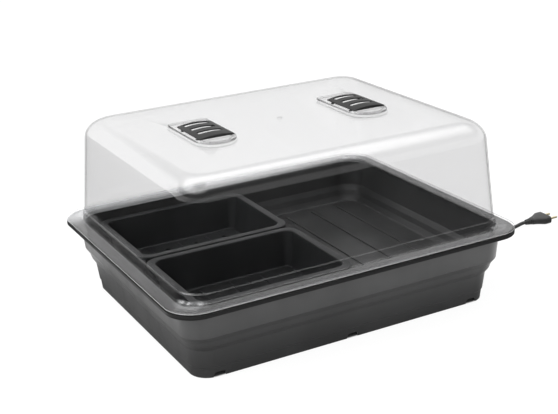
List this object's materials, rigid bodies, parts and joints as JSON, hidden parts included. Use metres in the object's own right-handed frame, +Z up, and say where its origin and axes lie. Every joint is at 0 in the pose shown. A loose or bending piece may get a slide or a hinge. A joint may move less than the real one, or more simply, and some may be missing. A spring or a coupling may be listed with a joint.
{
  "type": "heated humidity dome tray",
  "caption": "Heated moulded growing tray with a warm false floor, a clear lift-off dome with sliding vents, seed tray inserts and a mains lead.",
  "frame": {"origin": "on the ground, at the centre of the tray's footprint", "axes": "+X along the tray's length towards the side the mains lead leaves, -Y towards the front, +Z up"},
  "size_m": [0.826, 0.464, 0.2882],
  "materials": {
    "black_pp": "moulded polypropylene, semi-matt",
    "plate_plastic": "moulded, fine texture",
    "zinc_steel": "zinc plated",
    "foil": "rolled foil",
    "silicone_cord": "silicone rubber",
    "foam": "closed-cell foam",
    "cutout_sleeve": "glass-fibre sleeve",
    "splice_red": "crimp insulation",
    "core_brown": "PVC core insulation",
    "core_blue": "PVC core insulation",
    "flex_rubber": "moulded bush",
    "clamp_plastic": "natural nylon",
    "lead_sheath": "PVC sheath",
    "plug_plastic": "moulded plug",
    "pin_metal": "plated brass",
    "clear_dome": "clear moulded plastic",
    "vent_grey": "moulded, semi-matt",
    "seed_tray_black": "thin moulded, semi-gloss"
  },
  "bodies": {
    "tray": {"base_tray": "black_pp", "underside_plate": "plate_plastic", "plate_screws": "zinc_steel", "heat_spreader": "foil", "heating_wire": "silicone_cord", "insulation_pad": "foam", "thermal_cutout": "cutout_sleeve", "wire_splices": "splice_red", "lead_live": "core_brown", "lead_neutral": "core_blue", "cable_grommet": "flex_rubber", "cable_clamp": "clamp_plastic", "clamp_screws": "zinc_steel", "power_cable": "lead_sheath", "plug_body": "plug_plastic", "plug_pins": "pin_metal"},
    "dome": {"dome_lid": "clear_dome"},
    "vent_left": {"vent_slider_left": "vent_grey"},
    "vent_right": {"vent_slider_right": "vent_grey"},
    "seed_rear": {"seed_tray_rear": "seed_tray_black"},
    "seed_front": {"seed_tray_front": "seed_tray_black"}
  },
  "joints": [
    {"name": "lid_lift", "type": "slide", "parent": "tray", "child": "dome", "axis": [0, 0, 1], "range_m": [0, 0.25]},
    {"name": "vent_left_slide", "type": "slide", "parent": "dome", "child": "vent_left", "axis": [0, -1, 0], "range_m": [0, 0.0106]},
    {"name": "vent_right_slide", "type": "slide", "parent": "dome", "child": "vent_right", "axis": [0, -1, 0], "range_m": [0, 0.0106]},
    {"name": "seed_rear_lift", "type": "slide", "parent": "tray", "child": "seed_rear", "axis": [0, 0, 1], "range_m": [0, 0.06]},
    {"name": "seed_front_lift", "type": "slide", "parent": "tray", "child": "seed_front", "axis": [0, 0, 1], "range_m": [0, 0.06]}
  ]
}
